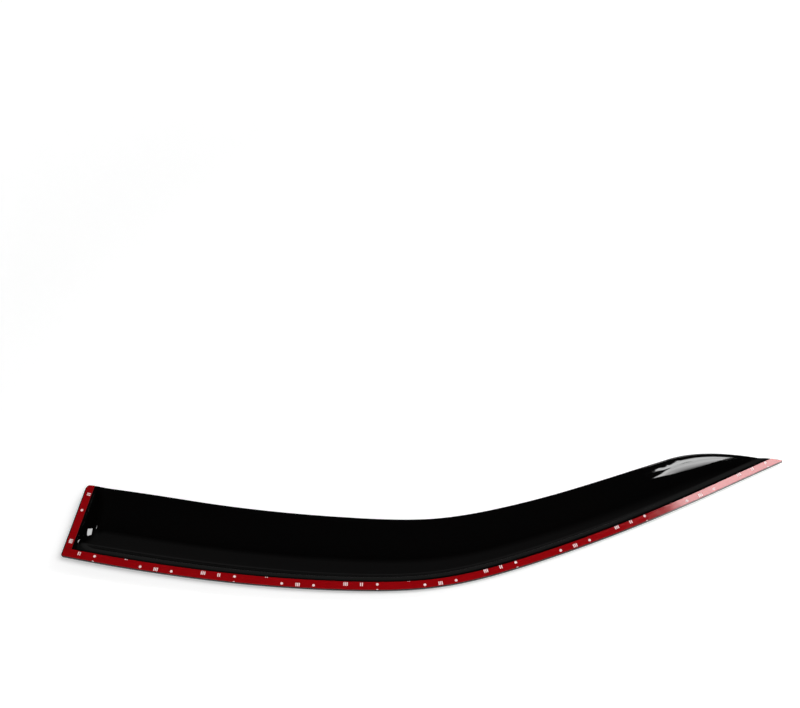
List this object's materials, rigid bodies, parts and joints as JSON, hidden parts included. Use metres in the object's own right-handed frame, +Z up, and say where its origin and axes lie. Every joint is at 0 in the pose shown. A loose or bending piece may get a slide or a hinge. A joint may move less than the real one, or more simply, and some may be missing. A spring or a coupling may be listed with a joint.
{
  "type": "window rain deflector",
  "caption": "Curved dark smoke acrylic visor for a front car door window, with a flat flange and foam tape strips under red liners, lying bonded side up.",
  "frame": {"origin": "on the table, under the middle of the part's footprint box", "axes": "+X from the rear end to the front tip, along the chord of the mounting edge; +Y from the mounting edge to the free edge; +Z up, out of the bonded side"},
  "size_m": [0.869, 0.1888, 0.0194],
  "materials": {
    "acrylic": "polished dark smoke acrylic",
    "foam": "matt closed-cell foam tape",
    "liner": "satin red release film"
  },
  "bodies": {
    "root": {"visor": "acrylic", "edge_foam": "foam", "edge_liner": "liner", "end_foam": "foam", "end_liner": "liner"}
  },
  "joints": []
}
